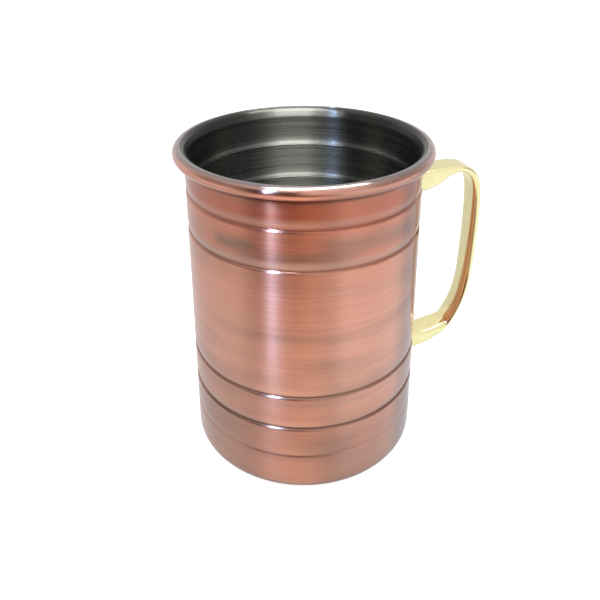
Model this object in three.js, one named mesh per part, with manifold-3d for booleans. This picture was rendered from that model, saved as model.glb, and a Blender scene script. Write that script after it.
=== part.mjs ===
// A tall copper tankard: a spun copper body with rolled grooves and a thick rim, a spun steel lining pressed
// into it, and a cast brass strap handle brazed to the wall by its two flared feet.
// Millimetres, +Z up. The origin is on the mug's axis, in the plane that it stands on, and the handle is on +X.

import * as THREE from 'three';
import { mergeVertices } from 'three/addons/utils/BufferGeometryUtils.js';
import Module from 'manifold-3d';

const wasm = await Module();
wasm.setup();

// Driving dimensions.
const HEIGHT = 126; // base to the crest of the rim
const MID_RADIUS = 44.3; // outside of the wall at half height
const TAPER = 1.5; // how much larger the radius is at the base than at the rim
const RIM_RADIUS = 47.65; // outside of the rolled rim
const RIM_TUBE = 2.4; // radius of the rim's round section
const FOOT_ROUND = 5.7; // rounded edge between base and wall
const COPPER = 0.8; // sheet thickness of the body
const STEEL = 0.5; // sheet thickness of the lining
const GAP = 0.3; // clearance between neighbouring pieces
const FLARE = 20; // slope of the mouth in degrees from the vertical
const LIP_END = 106; // where the lining's lip ends on the rim, in degrees from the outside up over the crest
const UNDER_RIM = 231; // where the neck meets the rim's section from below, in degrees
const MOUTH = 180 - FLARE; // where the mouth's slope meets the rim's round section, in degrees
const SEGMENTS = 36; // facets of everything that is spun

// Rolled grooves, top to bottom. Each is a sharp step at z with a long soft run-out above it.
const GROOVES = [
  { z: 109.9, depth: 0.65, run: 4.5 },
  { z: 95, depth: 0.65, run: 4.5 },
  { z: 44.1, depth: 0.65, run: 4.5 },
  { z: 30.2, depth: 0.65, run: 4 },
  { z: 17.8, depth: 0.2, run: 3 },
];
const STEP_HEIGHT = 0.5;

// Stiffening ring pressed up into the base.
const RING_RADIUS = 30.5;
const RING_WIDTH = 4;
const RING_HEIGHT = 0.6;

// Handle.
const STRAP_WIDTH = 10.6;
const STRAP_EDGE = 0.4; // rounding of the strap's long edges
const JOINT_THICKNESS = 0.6; // brazing metal between foot and wall
const JOINT_MARGIN = 1; // how far it shows round the foot
const FOOT_REACH = 42; // where the handle's outline starts, inside the wall, before the foot is cut to it
const PAD_REACH = 48; // how far out the block reaches that a brazed joint is cut from
const UPPER_FOOT = { low: 102.6, high: 110.2 };
const LOWER_FOOT = { low: 28.7, high: 36.9 };

const rimCentre = new THREE.Vector2(RIM_RADIUS - RIM_TUBE, HEIGHT - RIM_TUBE);

const copper = new THREE.MeshStandardMaterial({ color: 0xb8705a, roughness: 0.34, metalness: 1 });
const steel = new THREE.MeshStandardMaterial({ color: 0x8b8b85, roughness: 0.38, metalness: 1 });
const brass = new THREE.MeshStandardMaterial({ color: 0xe6d38a, roughness: 0.12, metalness: 1 });
const brazing = new THREE.MeshStandardMaterial({ color: 0xc9b27a, roughness: 0.4, metalness: 1 });

function plainWallRadius(z) {
  return MID_RADIUS + TAPER * (0.5 - z / HEIGHT);
}

function onCircle(centre, radius, degrees) {
  const angle = THREE.MathUtils.degToRad(degrees);
  return new THREE.Vector2(centre.x + radius * Math.cos(angle), centre.y + radius * Math.sin(angle));
}

// Points of a circular arc between two angles in degrees, both ends included.
function arc(centre, radius, from, to, steps) {
  const angleAt = (i) => THREE.MathUtils.lerp(from, to, i / steps);
  return Array.from({ length: steps + 1 }, (_, i) => onCircle(centre, radius, angleAt(i)));
}

// One groove's points, bottom to top: the band's edge, the sharp corner, and the soft run-out.
function groovePoints({ z, depth, run }, inset) {
  const radiusAt = (height, sunk) => plainWallRadius(height) - inset - sunk;
  return [
    new THREE.Vector2(radiusAt(z - STEP_HEIGHT, 0), z - STEP_HEIGHT),
    new THREE.Vector2(radiusAt(z, depth), z),
    new THREE.Vector2(radiusAt(z + run / 2, depth / 4), z + run / 2),
    new THREE.Vector2(radiusAt(z + run, 0), z + run),
  ];
}

// Half section of the cup, from the axis out along the base and up the wall to the mouth, sunk into the
// metal by inset. The mouth's slope meets the rim's section, whose radius there is rimRound.
function cupProfile(inset, rimRound) {
  const footCentre = new THREE.Vector2(plainWallRadius(FOOT_ROUND) - FOOT_ROUND, FOOT_ROUND);
  const ringStep = RING_WIDTH / 4;
  const mouthEnd = onCircle(rimCentre, rimRound, MOUTH);
  const slope = Math.tan(THREE.MathUtils.degToRad(90 - FLARE));
  const wall = plainWallRadius(mouthEnd.y) - inset;
  return [
    new THREE.Vector2(0, inset),
    new THREE.Vector2(RING_RADIUS - 2 * ringStep, inset),
    new THREE.Vector2(RING_RADIUS - ringStep, inset + RING_HEIGHT),
    new THREE.Vector2(RING_RADIUS + ringStep, inset + RING_HEIGHT),
    new THREE.Vector2(RING_RADIUS + 2 * ringStep, inset),
    ...arc(footCentre, FOOT_ROUND - inset, -90, 0, 5),
    ...GROOVES.toReversed().flatMap((groove) => groovePoints(groove, inset)),
    new THREE.Vector2(wall, mouthEnd.y - (mouthEnd.x - wall) * slope),
    mouthEnd,
  ];
}

// Turns a half section that starts and ends on the axis into a closed solid about +Z.
function spun(points) {
  const lathe = new THREE.LatheGeometry(points, SEGMENTS);
  lathe.rotateX(Math.PI / 2);
  return closed(lathe);
}

// Shares the vertices of a geometry and drops the triangles that have no area.
function closed(geometry) {
  const bare = new THREE.BufferGeometry();
  bare.setAttribute('position', geometry.getAttribute('position'));
  bare.setIndex(geometry.getIndex());
  const merged = mergeVertices(bare, 1e-4);
  const kept = [];
  const index = merged.getIndex().array;
  for (let i = 0; i < index.length; i += 3) {
    const [a, b, c] = index.slice(i, i + 3);
    if (a !== b && b !== c && c !== a) kept.push(a, b, c);
  }
  merged.setIndex(kept);
  return merged;
}

function toManifold(geometry) {
  const shared = closed(geometry);
  return new wasm.Manifold(new wasm.Mesh({
    numProp: 3,
    vertProperties: new Float32Array(shared.getAttribute('position').array),
    triVerts: new Uint32Array(shared.getIndex().array),
  }));
}

function fromManifold(manifold) {
  const { vertProperties, triVerts } = manifold.getMesh();
  const geometry = new THREE.BufferGeometry();
  geometry.setAttribute('position', new THREE.BufferAttribute(vertProperties, 3));
  geometry.setIndex(new THREE.BufferAttribute(triVerts, 1));
  return geometry;
}

function node(name, geometry, material) {
  const mesh = new THREE.Mesh(geometry, material);
  geometry.computeVertexNormals();
  mesh.name = name;
  return mesh;
}

// Copper body: up the outside, round the rim past its crest, back under the lip and down the inside.
function copperBody() {
  const seat = RIM_TUBE - STEEL - GAP;
  const edge = LIP_END - THREE.MathUtils.radToDeg(GAP / seat);
  const outside = cupProfile(0, RIM_TUBE).slice(0, -2);
  const inside = cupProfile(COPPER, seat);
  const neck = new THREE.Vector2(plainWallRadius(HEIGHT), inside.at(-2).y);
  return spun([
    ...outside,
    neck,
    ...arc(rimCentre, RIM_TUBE, UNDER_RIM, 270, 2),
    ...arc(rimCentre, RIM_TUBE, 270, 450, 8).slice(1),
    onCircle(rimCentre, RIM_TUBE, edge),
    ...arc(rimCentre, seat, edge, MOUTH, 3).slice(0, -1),
    ...inside.toReversed(),
  ]);
}

// Steel lining: up the hidden face to the lip, which lies in the rim's inner flank, and down the inside.
function steelLining() {
  const hidden = RIM_TUBE - STEEL;
  return spun([
    ...cupProfile(COPPER + GAP, hidden),
    ...arc(rimCentre, hidden, MOUTH, LIP_END, 3).slice(1),
    ...arc(rimCentre, RIM_TUBE, LIP_END, MOUTH, 3).slice(0, -1),
    ...cupProfile(COPPER + GAP + STEEL, RIM_TUBE).toReversed(),
  ]);
}

// Side view of the handle, X across and Z up. Its long curves are beziers, and both feet run into the wall.
function handleOutline() {
  const outline = new THREE.Shape();
  outline.moveTo(FOOT_REACH, UPPER_FOOT.low);
  outline.lineTo(47, UPPER_FOOT.low);
  outline.bezierCurveTo(54, 102.9, 56.2, 108.9, 61, 109.2);
  outline.bezierCurveTo(66, 109.3, 67.9, 105, 68.35, 97);
  outline.bezierCurveTo(68.95, 86, 68.55, 71, 67.75, 61);
  outline.bezierCurveTo(66.85, 51, 65.1, 44.6, 61.6, 41.3);
  outline.bezierCurveTo(57.3, 37.9, 50, 36.8, FOOT_REACH, LOWER_FOOT.high);
  outline.lineTo(FOOT_REACH, LOWER_FOOT.low);
  outline.bezierCurveTo(53, 30.8, 59.3, 33.6, 62.5, 37.6);
  outline.bezierCurveTo(67.4, 43.9, 70, 51.6, 71.05, 62);
  outline.bezierCurveTo(72, 74, 72.1, 86, 71.6, 97);
  outline.bezierCurveTo(71.2, 109, 66, 112.5, 57.5, 111.8);
  outline.lineTo(FOOT_REACH, UPPER_FOOT.high);
  return outline;
}

// A flat outline in the XZ plane, given its width along Y.
function strap(outline, width, edge) {
  const geometry = new THREE.ExtrudeGeometry(outline, {
    depth: width - 2 * edge,
    curveSegments: 7,
    bevelEnabled: edge > 0,
    bevelThickness: edge,
    bevelSize: edge,
    bevelOffset: -edge,
    bevelSegments: 1,
  });
  geometry.translate(0, 0, edge - width / 2);
  geometry.rotateX(Math.PI / 2);
  return geometry;
}

// A plain drum that follows the wall at a distance, for cutting what is fixed to it.
function wallDrum(distance) {
  return toManifold(spun([
    new THREE.Vector2(0, 0),
    new THREE.Vector2(plainWallRadius(0) + distance, 0),
    new THREE.Vector2(plainWallRadius(HEIGHT) + distance, HEIGHT),
    new THREE.Vector2(0, HEIGHT),
  ]));
}

function brassHandle() {
  const whole = toManifold(strap(handleOutline(), STRAP_WIDTH, STRAP_EDGE));
  return fromManifold(whole.subtract(wallDrum(JOINT_THICKNESS + 2 * GAP)));
}

// The brazing metal round one foot: a curved pad between the wall and the foot, a little larger than the foot.
function brazedJoint({ low, high }) {
  const pad = new THREE.Shape();
  pad.moveTo(FOOT_REACH, low - JOINT_MARGIN);
  pad.lineTo(PAD_REACH, low - JOINT_MARGIN);
  pad.lineTo(PAD_REACH, high + JOINT_MARGIN);
  pad.lineTo(FOOT_REACH, high + JOINT_MARGIN);
  const block = toManifold(strap(pad, STRAP_WIDTH + 2 * JOINT_MARGIN, 0));
  return fromManifold(block.intersect(wallDrum(GAP + JOINT_THICKNESS)).subtract(wallDrum(GAP)));
}

const mug = new THREE.Group();
mug.add(node('copper_body', copperBody(), copper));
mug.add(node('steel_lining', steelLining(), steel));
mug.add(node('brass_handle', brassHandle(), brass));
mug.add(node('upper_brazed_joint', brazedJoint(UPPER_FOOT), brazing));
mug.add(node('lower_brazed_joint', brazedJoint(LOWER_FOOT), brazing));

export default mug;
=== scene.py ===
"""A copper tankard with a steel lining and a brass strap handle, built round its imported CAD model."""

import math
from collections import namedtuple

import bmesh
import bpy
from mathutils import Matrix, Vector


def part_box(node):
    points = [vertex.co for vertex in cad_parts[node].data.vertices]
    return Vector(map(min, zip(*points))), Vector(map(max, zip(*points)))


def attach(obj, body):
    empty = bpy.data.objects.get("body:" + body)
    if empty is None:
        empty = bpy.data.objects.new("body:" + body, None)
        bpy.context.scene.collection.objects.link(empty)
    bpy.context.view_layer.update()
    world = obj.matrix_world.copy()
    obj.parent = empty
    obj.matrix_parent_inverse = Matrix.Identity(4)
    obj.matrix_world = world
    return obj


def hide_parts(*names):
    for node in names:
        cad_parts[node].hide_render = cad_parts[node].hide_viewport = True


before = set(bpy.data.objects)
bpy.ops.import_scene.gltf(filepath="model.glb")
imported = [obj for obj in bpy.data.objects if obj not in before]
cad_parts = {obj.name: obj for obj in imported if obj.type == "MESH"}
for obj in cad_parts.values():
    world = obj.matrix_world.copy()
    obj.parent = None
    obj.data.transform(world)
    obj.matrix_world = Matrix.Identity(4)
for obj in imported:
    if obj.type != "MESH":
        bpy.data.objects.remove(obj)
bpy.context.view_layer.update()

# The pieces are in millimetres up to the moment their meshes are made. The studio is in metres.
MM = 0.001

# ---------------------------------------------------------------- sizes of the mug

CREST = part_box("copper_body")[1].z / MM
RIM_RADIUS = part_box("copper_body")[1].y / MM
MID_RADIUS = 44.3  # of the wall's outer face at half of the mug's height
TAPER = 1.5  # radius that the wall loses over the mug's whole height
FOOT_ROUND = 5.7  # rounding between the base and the wall
COPPER = 0.8  # thickness of each sheet
STEEL = 0.5
SEAM = 0.04  # daylight between two sheets that are pressed together

RIM_TUBE = 2.4  # radius of the rolled rim's section
RIM_CENTRE = (RIM_RADIUS - RIM_TUBE, CREST - RIM_TUBE)
# Places round the rim's section, in degrees: 0 faces outwards and 90 is the crest.
LIP_END = 106.0  # edge of the lining's lip
UNDER_RIM = 231.0  # where the neck below meets the rim
ROUND_OVER = 5.0  # taken by the rounded edge of a sheet

FLARE = 20.0  # degrees by which the mouth leans out below the rim
FLARE_ROUND = 1.2  # how far the rounding at the foot of the flare reaches both ways
FLARE_POINTS = 10  # points from the wall's top to the mouth
NECK_BELOW_CREST = 5.0  # where the outer wall ends under the rim
NECK_RAISED = 0.5  # how far the outer bend under the rim lies above the inner one
NECK_ROUND = 1.5  # how far its rounding reaches down the wall

FLAT_RADII = (0, 7, 14, 21, 26)  # where the flat of the base has points
FOOT_FLAT = 4.0  # flat between the foot's rounding and the last point inside it
RING_RADIUS = 30.5  # the stiffening ring that is pressed up into the base
RING_HALF_WIDTH = 2.0
RING_HEIGHT = 0.6
RING_STEPS = 16

# Height is that of the groove's step. The rounded edge lies below it and the run-out above it. The last
# field is how strongly grime and painted shade darken the groove at its step.
Groove = namedtuple("Groove", "height depth edge_height run_out_height dirt")
GROOVES = (
    Groove(109.9, depth=0.65, edge_height=1.1, run_out_height=4.5, dirt=0.35),
    Groove(95.0, depth=0.65, edge_height=1.1, run_out_height=4.5, dirt=0.45),
    Groove(44.1, depth=0.65, edge_height=1.1, run_out_height=4.5, dirt=0.6),
    Groove(30.2, depth=0.65, edge_height=1.1, run_out_height=4.0, dirt=0.65),
    Groove(17.8, depth=0.2, edge_height=2.0, run_out_height=3.0, dirt=0.1),
)
GROOVE_STEP = 0.02  # height of the step itself
GROOVE_POINTS = 12  # points in the edge, and again in the run-out
RUN_OUT_SPREAD = 1.6  # above 1, the run-out's points crowd towards the step
TURNS = 224  # facets of everything that is spun

STRAP_HALF_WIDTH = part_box("brass_handle")[1].y / MM
STRAP_EDGE = 1.05  # rounding of the strap's corners
STRAP_STEPS = 32  # cross sections in each stretch of the strap
STRAP = (  # inner and outer edge of each stretch in side view, as Bezier curves from the upper foot down
    (((43.6, 102.6), (54, 102.6), (56.2, 108.9), (61, 109.2)),
     ((43.6, 110.4), (48, 110.9), (53, 111.4), (57.5, 111.75))),
    (((61, 109.2), (66, 109.3), (67.9, 105), (68.35, 97)),
     ((57.5, 111.75), (66, 112.45), (71.15, 109), (71.55, 97))),
    (((68.35, 97), (68.95, 86), (68.55, 71), (67.75, 61)),
     ((71.55, 97), (72.05, 86), (71.95, 74), (71.0, 62))),
    (((67.75, 61), (66.85, 51), (65.1, 44.6), (61.6, 41.3)),
     ((71.0, 62), (69.95, 51.6), (67.4, 43.9), (62.5, 37.6))),
    (((61.6, 41.3), (57.3, 37.9), (50, 36.8), (44, 36.9)),
     ((62.5, 37.6), (59.3, 33.6), (53, 30.8), (44, 29.1))),
)
CROWN = (  # stretches passed from the upper foot, and how far the inner face's edges roll over there
    (0.0, 1.1), (1.1, 1.3), (1.7, 2.2), (2.4, 3.0), (3.0, 4.2),
    (3.6, 5.0), (4.0, 4.8), (4.35, 1.8), (5.0, 1.1),
)
CROWN_DEPTH = 0.55  # depth of that roll for each millimetre of its width
STRAP_CORE = 0.1  # least thickness left between the roundings of the two faces
CORNER_STEPS = 15

FILLET = 0.9  # radius of the brazing metal round a foot
FILLET_UNDER = 0.15  # how far it reaches in under the foot's edge


# ---------------------------------------------------------------- outlines


def wall_radius(z):
    return MID_RADIUS + TAPER * (0.5 - z / CREST)


def on_circle(centre, radius, degrees):
    angle = math.radians(degrees)
    return (centre[0] + radius * math.cos(angle), centre[1] + radius * math.sin(angle))


def arc(centre, radius, start, end, steps):
    """Points of a circular arc, angles in degrees, both ends included."""
    return [on_circle(centre, radius, start + (end - start) * i / steps) for i in range(steps + 1)]


def toward(a, b, length):
    span = math.dist(a, b)
    return (a[0] + (b[0] - a[0]) * length / span, a[1] + (b[1] - a[1]) * length / span)


def bezier(a, b, c, d, steps):
    """Points of a cubic Bezier curve, both ends included."""
    points = []
    for i in range(steps + 1):
        t = i / steps
        u = 1 - t
        points.append(tuple(
            u**3 * p + 3 * u * u * t * q + 3 * u * t * t * r + t**3 * s for p, q, r, s in zip(a, b, c, d)
        ))
    return points


def groove_outline(groove, inset):
    """One groove from below: a rounded edge that turns in to the step, and a run-out back to the wall."""
    sunk = []
    for i in range(GROOVE_POINTS):
        share = math.sqrt(i / GROOVE_POINTS)
        sunk.append((groove.height - groove.edge_height * (1 - share), groove.depth * share**3))
    step_top = groove.height + GROOVE_STEP
    for i in range(GROOVE_POINTS + 1):
        share = (i / GROOVE_POINTS) ** RUN_OUT_SPREAD
        sunk.append((step_top + groove.run_out_height * share, groove.depth * (1 - share) ** 2))
    return [(wall_radius(z) - inset - depth, z) for z, depth in sunk]


def cup(inset, rim_round):
    """Half section of the cup from the axis to the mouth, sunk by inset below the outer face."""
    foot = (wall_radius(FOOT_ROUND) - FOOT_ROUND, FOOT_ROUND)
    mouth = on_circle(RIM_CENTRE, rim_round, 180 - FLARE)
    wall = wall_radius(mouth[1]) - inset
    bend = (wall, mouth[1] - (mouth[0] - wall) / math.tan(math.radians(FLARE)))
    points = [(radius, inset) for radius in FLAT_RADII]
    for i in range(RING_STEPS + 1):
        share = i / RING_STEPS
        lift = RING_HEIGHT * 0.5 * (1 - math.cos(2 * math.pi * share))
        points.append((RING_RADIUS + RING_HALF_WIDTH * (2 * share - 1), inset + lift))
    points.append((foot[0] - FOOT_FLAT, inset))
    points += arc(foot, FOOT_ROUND - inset, -90, 0, 12)
    for groove in reversed(GROOVES):
        points += groove_outline(groove, inset)
    start = (wall, bend[1] - FLARE_ROUND)
    points += bezier(start, bend, bend, toward(bend, mouth, FLARE_ROUND), FLARE_POINTS - 2)
    points.append(mouth)
    return points


def round_over(start, end, depth):
    """The rounded edge of a sheet on the rim's section, from its face at start down to a radius at end."""
    corner = on_circle(RIM_CENTRE, RIM_TUBE, end)
    low = on_circle(RIM_CENTRE, (RIM_TUBE + depth) / 2, end)
    return bezier(on_circle(RIM_CENTRE, RIM_TUBE, start), corner, corner, low, 6)[1:]


# ---------------------------------------------------------------- meshes


def finish_mesh(name, build, nodes):
    """Turns a bmesh in millimetres into a smooth piece that rides on the mug and stands for CAD nodes."""
    bmesh.ops.scale(build, vec=(MM, MM, MM), verts=build.verts)
    bmesh.ops.recalc_face_normals(build, faces=build.faces)
    mesh = bpy.data.meshes.new(name)
    build.to_mesh(mesh)
    build.free()
    mesh.polygons.foreach_set("use_smooth", [True] * len(mesh.polygons))
    piece = bpy.data.objects.new(name, mesh)
    bpy.context.scene.collection.objects.link(piece)
    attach(piece, "root")
    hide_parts(*nodes)
    return piece


def spin(points):
    """Turns a half section that starts and ends on the axis into a closed solid."""
    build = bmesh.new()
    rings = []
    for radius, z in points:
        if radius == 0:
            rings.append([build.verts.new((0, 0, z))])
            continue
        ring = []
        for i in range(TURNS):
            angle = 2 * math.pi * i / TURNS
            ring.append(build.verts.new((radius * math.cos(angle), radius * math.sin(angle), z)))
        rings.append(ring)
    for low, high in zip(rings, rings[1:]):
        for i in range(TURNS):
            j = (i + 1) % TURNS
            corners = [low[i % len(low)], low[j % len(low)], high[j % len(high)], high[i % len(high)]]
            build.faces.new(list(dict.fromkeys(corners)))
    return build


def skin(loops, ends_meet):
    """Closes loops of points into a solid: the last loop meets the first, or the two ends get flat faces."""
    build = bmesh.new()
    rings = [[build.verts.new(point) for point in loop] for loop in loops]
    following = rings[1:] + rings[:1] if ends_meet else rings[1:]
    for ring, after in zip(rings, following):
        for i in range(len(ring)):
            j = (i + 1) % len(ring)
            build.faces.new((ring[i], ring[j], after[j], after[i]))
    if not ends_meet:
        build.faces.new(rings[0])
        build.faces.new(rings[-1])
    return build


def copper_body():
    """The spun shell: outside, rim past its crest, seat of the lining's lip, and the hidden inside."""
    seat = RIM_TUBE - STEEL - SEAM
    edge = LIP_END - math.degrees(SEAM / RIM_TUBE)
    inside = cup(COPPER, seat)
    points = cup(0, RIM_TUBE)[:-FLARE_POINTS]
    neck = on_circle(RIM_CENTRE, RIM_TUBE, UNDER_RIM)
    bend = (wall_radius(CREST - NECK_BELOW_CREST), inside[-FLARE_POINTS][1] + NECK_RAISED)
    points += bezier((bend[0], bend[1] - NECK_ROUND), bend, bend, neck, 8)[:-1]
    points += arc(RIM_CENTRE, RIM_TUBE, UNDER_RIM, 360 + edge - ROUND_OVER, 72)
    points += round_over(edge - ROUND_OVER, edge, seat)
    points += arc(RIM_CENTRE, seat, edge, 180 - FLARE, 8)[:-1]
    points += reversed(inside)
    return finish_mesh("copper_shell", spin(points), ["copper_body"])


def steel_lining():
    """The spun steel cup inside, with its lip burnished into the rim's inner flank."""
    hidden = RIM_TUBE - STEEL
    points = cup(COPPER + SEAM, hidden)
    points += arc(RIM_CENTRE, hidden, 180 - FLARE, LIP_END, 8)[1:]
    points += reversed(round_over(LIP_END + ROUND_OVER, LIP_END, hidden))
    points += arc(RIM_CENTRE, RIM_TUBE, LIP_END + ROUND_OVER, 180 - FLARE, 20)[:-1]
    points += reversed(cup(COPPER + SEAM + STEEL, RIM_TUBE))
    return finish_mesh("steel_lining_spun", spin(points), ["steel_lining"])


def strap_faces():
    """The strap's two edges in side view, as two rows of points from the upper foot to the lower."""
    inner = []
    outer = []
    for inner_curve, outer_curve in STRAP:
        inner += bezier(*inner_curve, STRAP_STEPS)[:-1]
        outer += bezier(*outer_curve, STRAP_STEPS)[:-1]
    return inner + [STRAP[-1][0][-1]], outer + [STRAP[-1][1][-1]]


def crown_at(place):
    """How far the inner face's edges roll over at a place along the strap, counted in stretches."""
    for (start, a), (end, b) in zip(CROWN, CROWN[1:]):
        if place <= end:
            return a + (b - a) * (place - start) / (end - start)


def section(low, high, crown=STRAP_EDGE):
    """The strap's cross section between its inner edge, low, and its outer edge, high, in side view.

    The edges of the inner face roll over by crown."""
    deep = min(max(STRAP_EDGE, CROWN_DEPTH * crown), math.dist(low, high) - STRAP_EDGE - STRAP_CORE)
    low = Vector((low[0], 0, low[1]))
    high = Vector((high[0], 0, high[1]))
    across = (high - low).normalized()
    side = Vector((0, 1, 0))
    points = []
    # Of each corner: where it is, on which side, the way to the section's middle, and where its arc starts.
    corners = ((high, 1, -1, 0), (high, -1, -1, 90), (low, -1, 1, 180), (low, 1, 1, 270))
    for end, sign, inward, start in corners:
        wide, thick = (crown, deep) if end is low else (STRAP_EDGE, STRAP_EDGE)
        centre = end + across * inward * thick + side * sign * (STRAP_HALF_WIDTH - wide)
        for i in range(CORNER_STEPS + 1):
            angle = math.radians(start + 90 * i / CORNER_STEPS)
            points.append(centre + wide * math.cos(angle) * side + thick * math.sin(angle) * across)
    return points


def onto_wall(point, gap):
    """The same place across and up, moved along X to a gap off the wall."""
    return Vector((math.sqrt(wall_radius(point.z) ** 2 - point.y**2) + gap, point.y, point.z))


def brass_handle():
    """The cast strap: its cross section carried along its side view, with its feet cut to the wall."""
    inner, outer = strap_faces()
    loops = [section(a, b, crown_at(i / STRAP_STEPS)) for i, (a, b) in enumerate(zip(inner, outer))]
    loops[0] = [onto_wall(point, SEAM) for point in loops[0]]
    loops[-1] = [onto_wall(point, SEAM) for point in loops[-1]]
    return finish_mesh("brass_strap_handle", skin(loops, ends_meet=False), ["brass_handle"])


def brazed_joint(name, end, nodes):
    """A concave fillet of brazing metal round one foot, between the foot and the wall."""
    inner, outer = strap_faces()
    foot = section(inner[end], outer[end])
    middle = sum(foot, Vector()) / len(foot)
    profile = [(-FILLET_UNDER, 0.0), (-FILLET_UNDER, FILLET)]
    profile += arc((FILLET, FILLET), FILLET, 180, 270, 9)
    loops = []
    for out, height in profile:
        loop = []
        for i, point in enumerate(foot):
            along = foot[(i + 1) % len(foot)] - foot[i - 1]
            normal = Vector((0, along.z, -along.y)).normalized()
            if normal.dot(point - middle) < 0:
                normal.negate()
            loop.append(onto_wall(point + normal * out, SEAM / 2 + height))
        loops.append(loop)
    return finish_mesh(name, skin(loops, ends_meet=True), nodes)


# ---------------------------------------------------------------- nodes


def heading(azimuth):
    """The level direction at an azimuth, in degrees from -Y towards +X."""
    a = math.radians(azimuth)
    return (math.sin(a), -math.cos(a), 0)


def rgba(colour):
    """Blender's four numbers from a colour's three, or from one number for a grey."""
    return (*colour, 1) if isinstance(colour, tuple) else (colour, colour, colour, 1)


class Nodes:
    """Short calls for the nodes that the metals and the studio's light share."""

    def __init__(self, tree, coordinates):
        self.tree = tree
        self.place = tree.nodes.new("ShaderNodeTexCoord").outputs[coordinates]

    def put(self, socket, value):
        """Links an output to a socket, or sets the socket to a constant."""
        if isinstance(value, bpy.types.NodeSocket):
            self.tree.links.new(value, socket)
        else:
            socket.default_value = rgba(value) if socket.type == "RGBA" else value

    def node(self, kind, inputs=(), **settings):
        """A new node with its inputs, by name or number, and its settings."""
        made = self.tree.nodes.new(kind)
        for key, value in settings.items():
            setattr(made, key, value)
        for socket, value in dict(inputs).items():
            self.put(made.inputs[socket], value)
        return made

    def maths(self, operation, a, b=0.0):
        return self.node("ShaderNodeMath", {0: a, 1: b}, operation=operation).outputs[0]

    def vector_maths(self, operation, *inputs):
        """The result is a vector, or a number for a length or a dot product."""
        made = self.node("ShaderNodeVectorMath", enumerate(inputs), operation=operation)
        return made.outputs["Value" if operation in ("LENGTH", "DOT_PRODUCT") else "Vector"]

    def height(self):
        return self.node("ShaderNodeSeparateXYZ", {0: self.place}).outputs["Z"]

    def flat(self):
        """The place without its height."""
        return self.vector_maths("MULTIPLY", self.place, (1, 1, 0))

    def towards(self, azimuth):
        """The cosine of the angle between the place's own azimuth and the one given."""
        level = self.vector_maths("NORMALIZE", self.flat())
        return self.vector_maths("DOT_PRODUCT", level, heading(azimuth))

    def smooth(self, value, low, high):
        """0 at low and 1 at high, whichever is larger, and level past both."""
        return self.node(
            "ShaderNodeMapRange",
            {"Value": value, "From Min": low, "From Max": high},
            interpolation_type="SMOOTHSTEP",
        ).outputs[0]

    def mix(self, share, a, b, blend="MIX"):
        """From colour a to colour b."""
        made = self.node("ShaderNodeMix", {0: share, 6: a, 7: b}, data_type="RGBA", blend_type=blend)
        return made.outputs[2]


# ---------------------------------------------------------------- materials


class Material(Nodes):
    """A node material for one of the metals."""

    def __init__(self, name, **sockets):
        self.made = bpy.data.materials.new(name)
        self.made.use_nodes = True
        super().__init__(self.made.node_tree, "Object")
        self.shader = self.tree.nodes["Principled BSDF"]
        self.set("Metallic", 1.0)
        for socket, value in sockets.items():
            self.set(socket.replace("_", " "), value)

    def set(self, socket, value):
        self.put(self.shader.inputs[socket], value)

    def noise(self, stretch, detail=3.0, roughness=0.5, offset=(0, 0, 0)):
        """Noise whose size differs along X, Y and Z; stretch is repeats per metre."""
        mapped = self.node("ShaderNodeMapping", {"Vector": self.place, "Scale": stretch, "Location": offset})
        made = self.node(
            "ShaderNodeTexNoise",
            {"Vector": mapped.outputs[0], "Scale": 1.0, "Detail": detail, "Roughness": roughness},
        )
        return made.outputs["Fac"]

    def span(self, value, low, high, to_low=0.0, to_high=1.0):
        """Carries low to to_low and high to to_high, in a straight line, and level past both."""
        made = self.node(
            "ShaderNodeMapRange",
            {"Value": value, "From Min": low, "From Max": high, "To Min": to_low, "To Max": to_high},
        )
        return made.outputs[0]

    def bell(self, value, centre, reach):
        """1 at a value's centre, falling smoothly to 0 at reach on both sides of it."""
        off = self.maths("ABSOLUTE", self.maths("SUBTRACT", value, centre))
        return self.smooth(off, reach, 0.0)

    def ramp(self, value, stops):
        """Colours or greys by value, blended between stops of position and colour."""
        made = self.node("ShaderNodeValToRGB", {"Fac": value})
        elements = made.color_ramp.elements
        while len(elements) < len(stops):
            elements.new(1.0)
        for element, (position, colour) in zip(elements, stops):
            element.position = position
            element.color = rgba(colour)
        return made.outputs[0]

    def radius(self):
        return self.vector_maths("LENGTH", self.flat())

    def smudge(self, azimuth, height, half_angle, half_height):
        """A soft patch on the wall, 1 in its middle: degrees from -Y towards +X, and millimetres up."""
        across = self.smooth(self.towards(azimuth), math.cos(math.radians(half_angle)), 1.0)
        return self.maths("MULTIPLY", across, self.bell(self.height(), height * MM, half_height * MM))

    def along_grooves(self, centre, reach, weights):
        """A soft line along each groove, centred this far above its step in millimetres; one weight each."""
        total = 0.0
        height = self.height()
        for groove, weight in zip(GROOVES, weights):
            line = self.bell(height, (groove.height + centre) * MM, reach * MM)
            total = self.maths("MAXIMUM", total, self.maths("MULTIPLY", line, weight))
        return total

    def spun_lines(self):
        """Fine rings left by the tool: noise that is long round the mug and well under a millimetre high."""
        fine = self.noise((14, 14, 5200), detail=2.0, roughness=0.6)
        broad = self.noise((7, 7, 1300), detail=2.0, offset=(3, 1, 7))
        return self.maths("ADD", self.maths("MULTIPLY", fine, 0.6), self.maths("MULTIPLY", broad, 0.4))

    def brush_round(self):
        """Stretches highlights across the rings that the spinning left, as fine scratches do."""
        self.set("Anisotropic Rotation", 0.25)
        self.set("Tangent", self.node("ShaderNodeTangent", direction_type="RADIAL", axis="Z").outputs[0])

    def bump(self, height, distance):
        self.set("Normal", self.node("ShaderNodeBump", {"Height": height, "Distance": distance}).outputs[0])


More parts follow.
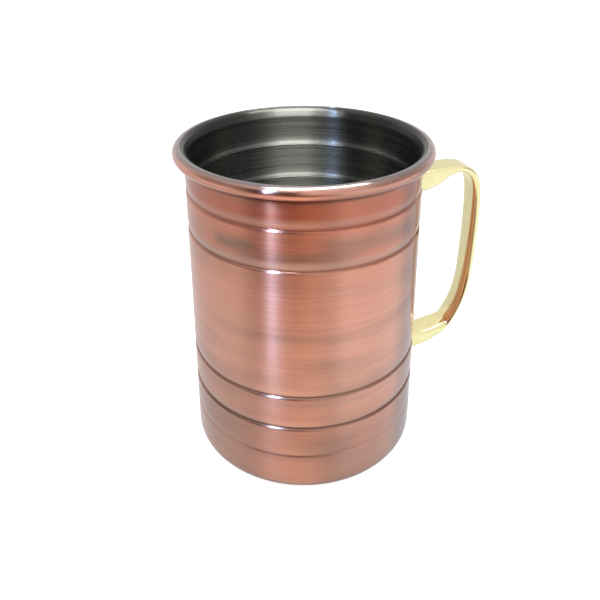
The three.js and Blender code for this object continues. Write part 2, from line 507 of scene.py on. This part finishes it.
COPPER_TONES = (  # share of the mug's height, colour
    (0.00, (0.60, 0.300, 0.210)),
    # From 0.01 to 0.028 the foot's rounding is painted dark: painted shade standing for the mirrored contact
    # shadow.
    (0.01, (0.20, 0.085, 0.060)),
    (0.028, (0.20, 0.085, 0.060)),
    (0.042, (0.54, 0.250, 0.175)),
    (0.13, (0.53, 0.250, 0.175)),
    (0.20, (0.52, 0.245, 0.172)),
    (0.27, (0.63, 0.295, 0.205)),
    (0.36, (0.74, 0.355, 0.250)),
    (0.55, (0.76, 0.355, 0.250)),
    (0.745, (0.74, 0.315, 0.210)),
    (0.76, (0.67, 0.250, 0.160)),
    (0.865, (0.68, 0.250, 0.155)),
    (0.88, (0.56, 0.165, 0.092)),
    (0.95, (0.52, 0.150, 0.080)),
    (1.00, (0.80, 0.380, 0.280)),
)
PATINA = (0.34, 0.205, 0.150)
SMUDGED = (0.26, 0.150, 0.110)
SMUDGES = (  # azimuth, height, half angle, half height, strength
    (-46, 103, 15, 5.0, 0.95),
    (-17, 99.5, 36, 5.0, 0.75),
    (6, 104, 17, 5.5, 0.75),
    (32, 103, 20, 5.0, 0.50),
    (-10, 69, 75, 4.5, 0.35),
    (-62, 41, 25, 5.0, 0.45),
    (-2, 21, 18, 9.0, 0.50),
    (-60, 23, 22, 9.0, 0.40),
    (112, 60, 24, 5.0, 0.35),
    (150, 100, 34, 5.5, 0.55),
    (205, 28, 30, 8.0, 0.45),
    (240, 78, 40, 4.5, 0.30),
)
# A painted sheen on the run-out above each groove.
PAINTED_SHEEN = (0.56, 0.340, 0.255)
# Grime and painted shade in the grooves' corners.
DIRT_AND_SHADE = (0.060, 0.030, 0.020)
# A painted shadow in the crease under the rolled rim.
PAINTED_SHADOW_UNDER_RIM = (0.060, 0.022, 0.012)
GREY_CREST = (0.17, 0.155, 0.155)
BRUSHING = ((0.0, 0.86), (0.25, 0.94), (0.5, 0.99), (0.8, 1.0), (0.86, 1.0))  # by share of the mug's height


def antique_copper():
    """Lacquered spun copper, toned in bands of height and antiqued in patches, with grime and painted shade
    in its grooves, a painted sheen above them, and painted shade under the rim and round the foot.
    """
    material = Material("antique_copper", Coat_Weight=0.7, Coat_Roughness=0.11)
    rings = material.spun_lines()
    height = material.height()
    share = material.span(height, 0.0, CREST * MM)

    tone = material.ramp(share, COPPER_TONES)
    patches = material.noise((17, 17, 95), roughness=0.55, offset=(1, 5, 2))
    tone = material.mix(material.span(patches, 0.47, 0.72, 0.0, 0.5), tone, PATINA)
    ragged = material.noise((40, 40, 260), roughness=0.6, offset=(2, 4, 6))
    ragged = material.span(ragged, 0.3, 0.6, 0.45, 1.0)
    for *patch, strength in SMUDGES:
        rubbed = material.maths("MULTIPLY", material.smudge(*patch), ragged)
        tone = material.mix(material.maths("MULTIPLY", rubbed, strength), tone, SMUDGED)

    uneven = material.span(material.noise((9, 9, 60), detail=2.0), 0.35, 0.65, 0.35, 0.9)
    # A painted sheen on the run-out above each groove, uneven in strength.
    sheen_above_grooves = material.along_grooves(2.0, 2.6, (0.9, 0.9, 0.5, 0.5, 0.2))
    tone = material.mix(material.maths("MULTIPLY", sheen_above_grooves, uneven), tone, PAINTED_SHEEN)
    # Grime and painted shade along each groove's step.
    dirt = material.along_grooves(0.2, 1.3, [groove.dirt for groove in GROOVES])
    tone = material.mix(dirt, tone, DIRT_AND_SHADE)
    # A painted shadow in the crease under the rolled rim.
    rim_shadow = material.bell(height, (CREST - 5.7) * MM, 1.5 * MM)
    tone = material.mix(material.maths("MULTIPLY", rim_shadow, 0.9), tone, PAINTED_SHADOW_UNDER_RIM)
    inwards = material.span(material.radius(), (RIM_RADIUS - 0.15) * MM, (RIM_RADIUS - 1.25) * MM, 0.0, 0.9)
    on_rim = material.maths("GREATER_THAN", height, (RIM_CENTRE[1] - 0.3) * MM)
    tone = material.mix(material.maths("MULTIPLY", inwards, on_rim), tone, GREY_CREST)
    tone = material.mix(1.0, tone, material.span(rings, 0.3, 0.7, 0.84, 1.12), "MULTIPLY")
    material.set("Base Color", tone)

    smoother_rim = material.span(height, (CREST - 6) * MM, (CREST - 4) * MM, 1.0, 0.6)
    roughness = material.span(rings, 0.3, 0.7, 0.27, 0.32)
    material.set("Roughness", material.maths("MULTIPLY", roughness, smoother_rim))
    material.set("Anisotropic", material.ramp(share, BRUSHING))
    material.bump(rings, 0.01 * MM)
    material.brush_round()
    return material.made


STEEL_SHADES = (  # share of the way up from SHADED_FROM to the crest, brightness
    (0.0, 1.0), (0.72, 1.0), (0.80, 0.75), (0.90, 0.65), (0.93, 0.40), (1.0, 0.40),
)
SHADED_FROM = 60.0
# Painted highlights along the ridges that the grooves raise inside the lining.
PAINTED_RIDGE_HIGHLIGHT = (0.95, 0.95, 0.92)
RIDGE_HIGHLIGHT_LINES = ((1.4, 1.0), (-0.9, 0.6))  # height above a groove's step, half height


def spun_steel():
    """Spun steel with fine rings, darker towards the mouth, with painted highlights along the grooves'
    ridges.
    """
    material = Material("spun_steel", Anisotropic=0.95)
    rings = material.spun_lines()
    tone = material.mix(material.span(rings, 0.3, 0.7), (0.14, 0.14, 0.128), (0.22, 0.22, 0.205))
    upwards = material.span(material.height(), SHADED_FROM * MM, CREST * MM)
    tone = material.mix(1.0, tone, material.ramp(upwards, STEEL_SHADES), "MULTIPLY")
    weights = [groove.depth / GROOVES[0].depth for groove in GROOVES]
    # Painted highlights along each ridge, above and below its step.
    above, below = (material.along_grooves(centre, reach, weights) for centre, reach in RIDGE_HIGHLIGHT_LINES)
    ridges = material.maths("MAXIMUM", above, below)
    tone = material.mix(material.maths("MULTIPLY", ridges, 0.2), tone, PAINTED_RIDGE_HIGHLIGHT)
    material.set("Base Color", tone)
    material.set("Roughness", material.span(rings, 0.3, 0.7, 0.25, 0.31))
    material.bump(rings, 0.01 * MM)
    material.brush_round()
    return material.made


def polished_brass():
    """Pale brass with a faint haze and fine scratches."""
    material = Material("polished_brass")
    haze = material.noise((260, 260, 260), detail=4.0, roughness=0.6)
    scratches = material.noise((900, 120, 60), roughness=0.6)
    tone = material.mix(material.span(haze, 0.3, 0.7), (0.84, 0.74, 0.39), (0.89, 0.80, 0.45))
    material.set("Base Color", tone)
    material.set("Roughness", material.span(scratches, 0.35, 0.65, 0.09, 0.16))
    material.bump(material.noise((160, 160, 160), detail=2.0), 0.008 * MM)
    return material.made


def brazing_metal():
    """Satin brazing metal with the grain of a file."""
    material = Material("brazing_metal")
    grain = material.noise((1500, 1500, 1500), roughness=0.6)
    tone = material.mix(material.span(grain, 0.35, 0.65), (0.50, 0.34, 0.17), (0.72, 0.55, 0.30))
    material.set("Base Color", tone)
    material.set("Roughness", material.span(grain, 0.35, 0.65, 0.25, 0.42))
    material.bump(grain, 0.04 * MM)
    return material.made


def give(piece, material):
    piece.data.materials.clear()
    piece.data.materials.append(material)


# ---------------------------------------------------------------- studio

CAMERA_AZIMUTH = -14.0
CAMERA_DISTANCE = 0.2351  # from the mug's axis
CAMERA_HEIGHT = 0.2038
CAMERA_PITCH = 24.78  # degrees below the horizontal
LENS = 40.56
SHIFT_X = -0.0066
SHIFT_Y = -0.14

FLOOR_HALF_WIDTH = 6.0
FLOOR_DROP = 0.0002  # daylight between the floor and the base


def camera():
    made = bpy.data.objects.new("camera", bpy.data.cameras.new("camera"))
    bpy.context.scene.collection.objects.link(made)
    made.data.lens = LENS
    made.data.shift_x = SHIFT_X
    made.data.shift_y = SHIFT_Y
    made.data.clip_start = 0.01
    x, y, _ = heading(CAMERA_AZIMUTH)
    made.location = (x * CAMERA_DISTANCE, y * CAMERA_DISTANCE, CAMERA_HEIGHT)
    made.rotation_euler = (math.radians(90 - CAMERA_PITCH), 0, math.radians(CAMERA_AZIMUTH))
    bpy.context.scene.camera = made


def pale_floor():
    """A white floor out to the horizon. The metals mirror the studio's own pale ground instead of it."""
    build = bmesh.new()
    bmesh.ops.create_grid(build, x_segments=2, y_segments=2, size=FLOOR_HALF_WIDTH)
    mesh = bpy.data.meshes.new("floor")
    build.to_mesh(mesh)
    build.free()
    floor = bpy.data.objects.new("floor", mesh)
    bpy.context.scene.collection.objects.link(floor)
    floor.location.z = -FLOOR_DROP
    floor.visible_glossy = False
    material = bpy.data.materials.new("pale_floor")
    material.use_nodes = True
    shader = material.node_tree.nodes["Principled BSDF"]
    shader.inputs["Base Color"].default_value = rgba(0.93)
    shader.inputs["Roughness"].default_value = 0.9
    shader.inputs["Specular IOR Level"].default_value = 0.0
    shader.inputs["Emission Color"].default_value = rgba(1.0)
    shader.inputs["Emission Strength"].default_value = 0.75
    give(floor, material)


def softbox(name, azimuth, elevation, distance, size, power, colour=(1, 1, 1), lit=()):
    """An area light aimed at the middle of the mug. If lit names any pieces, it lights only those.

    Azimuth and elevation are in degrees, the azimuth from the camera's side. Size is width and height."""
    light = bpy.data.lights.new(name, "AREA")
    light.shape = "RECTANGLE"
    light.size, light.size_y = size
    light.energy = power
    light.color = colour
    lamp = bpy.data.objects.new(name, light)
    bpy.context.scene.collection.objects.link(lamp)
    lamp.visible_camera = False
    x, y, _ = heading(CAMERA_AZIMUTH + azimuth)
    e = math.radians(elevation)
    back = Vector((x * math.cos(e), y * math.cos(e), math.sin(e)))
    lamp.location = Vector((0, 0, CREST * MM / 2)) + back * distance
    lamp.rotation_mode = "QUATERNION"
    lamp.rotation_quaternion = back.to_track_quat("Z", "Y")
    if lit:
        lamp.light_linking.receiver_collection = bpy.data.collections.new(name + "_lights")
        for piece in lit:
            lamp.light_linking.receiver_collection.objects.link(piece)


class Sky(Nodes):
    """The studio's soft light by direction. Azimuths are turned from the camera's side, in degrees."""

    def sector(self, azimuth, half_width, fade):
        """1 within half_width of an azimuth, fading to 0 over fade degrees."""
        near = math.cos(math.radians(half_width))
        edge = math.cos(math.radians(half_width + fade))
        return self.smooth(self.towards(CAMERA_AZIMUTH + azimuth), edge, near)

    def past(self, azimuth, fade):
        """0 up to an azimuth, and 1 from fade degrees past it.

        Past it is to its right, or to its left if fade is negative."""
        return self.smooth(self.towards(CAMERA_AZIMUTH + azimuth + 90), 0.0, math.sin(math.radians(fade)))

    def above(self, low, high):
        """0 below the elevation low and 1 above high, in degrees."""
        return self.smooth(self.height(), math.sin(math.radians(low)), math.sin(math.radians(high)))


def mirrored_light(sky):
    """What the metals mirror: pale ground and ceiling, with a dark zone in front and a dim band between."""
    front = sky.maths("MULTIPLY", sky.past(-66, fade=30), sky.past(42, fade=-46))
    right = sky.sector(74, half_width=30, fade=22)
    back = sky.sector(188, half_width=50, fade=32)
    grey_right = sky.sector(128, half_width=10, fade=18)
    grey_left = sky.sector(-130, half_width=12, fade=26)
    bright_gap = sky.sector(29, half_width=18, fade=22)

    ground = sky.mix(right, (0.86, 0.90, 0.90), (1.14, 1.21, 1.27))
    ground = sky.mix(back, ground, 0.95)
    ground = sky.mix(sky.above(-52, -32), 0.82, ground)
    ground = sky.mix(grey_right, ground, (0.66, 0.80, 0.88))
    ground = sky.mix(grey_left, ground, (0.76, 0.78, 0.80))
    front_ground = sky.mix(sky.above(-42, -20), (1.42, 1.22, 1.06), (0.13, 0.045, 0.025))
    ground = sky.mix(front, ground, front_ground)

    band = sky.mix(front, 0.4, (0.06, 0.03, 0.02))
    band = sky.mix(back, band, 0.9)
    band = sky.mix(right, band, 0.55)
    band = sky.mix(bright_gap, band, 1.0)
    ceiling = sky.mix(sky.above(32, 58), band, 1.1)
    return sky.mix(sky.above(-2, 2), ground, ceiling)


def studio(outside, inside):
    """The floor, the light that the metals mirror, a plain white behind it all, and five lamps."""
    world = bpy.data.worlds.new("studio")
    bpy.context.scene.world = world
    world.use_nodes = True
    sky = Sky(world.node_tree, "Generated")
    seen = sky.node("ShaderNodeLightPath").outputs["Is Camera Ray"]
    backdrop = world.node_tree.nodes["Background"].inputs["Color"]
    sky.put(backdrop, sky.mix(seen, mirrored_light(sky), 1.0))
    pale_floor()
    softbox("left_strip", -30.8, 40, distance=0.7, size=(0.03, 0.35), power=6.0,
            colour=(0.28, 0.55, 1.0), lit=outside)
    softbox("left_strip_inside", -34.5, 40, distance=0.7, size=(0.02, 0.35), power=2.0,
            colour=(0.30, 0.50, 1.0), lit=inside)
    softbox("front_inside", 12, 42, distance=0.8, size=(0.5, 0.3), power=7.0,
            colour=(0.97, 1.0, 0.94), lit=inside)
    softbox("front_inside_wide", 0, 42, distance=0.9, size=(1.3, 0.3), power=9.5,
            colour=(0.97, 1.0, 0.94), lit=inside)
    softbox("overhead", 35, 83, distance=0.2, size=(0.14, 0.055), power=0.42)
    bpy.context.scene.view_settings.view_transform = "Standard"


camera()
BODY = copper_body()
LINING = steel_lining()
HANDLE = brass_handle()
FILLETS = [
    brazed_joint("upper_brazing_fillet", 0, ["upper_brazed_joint"]),
    brazed_joint("lower_brazing_fillet", -1, ["lower_brazed_joint"]),
]
BRAZING = brazing_metal()
give(BODY, antique_copper())
give(LINING, spun_steel())
give(HANDLE, polished_brass())
for fillet in FILLETS:
    give(fillet, BRAZING)
studio([BODY, HANDLE, *FILLETS], [LINING])
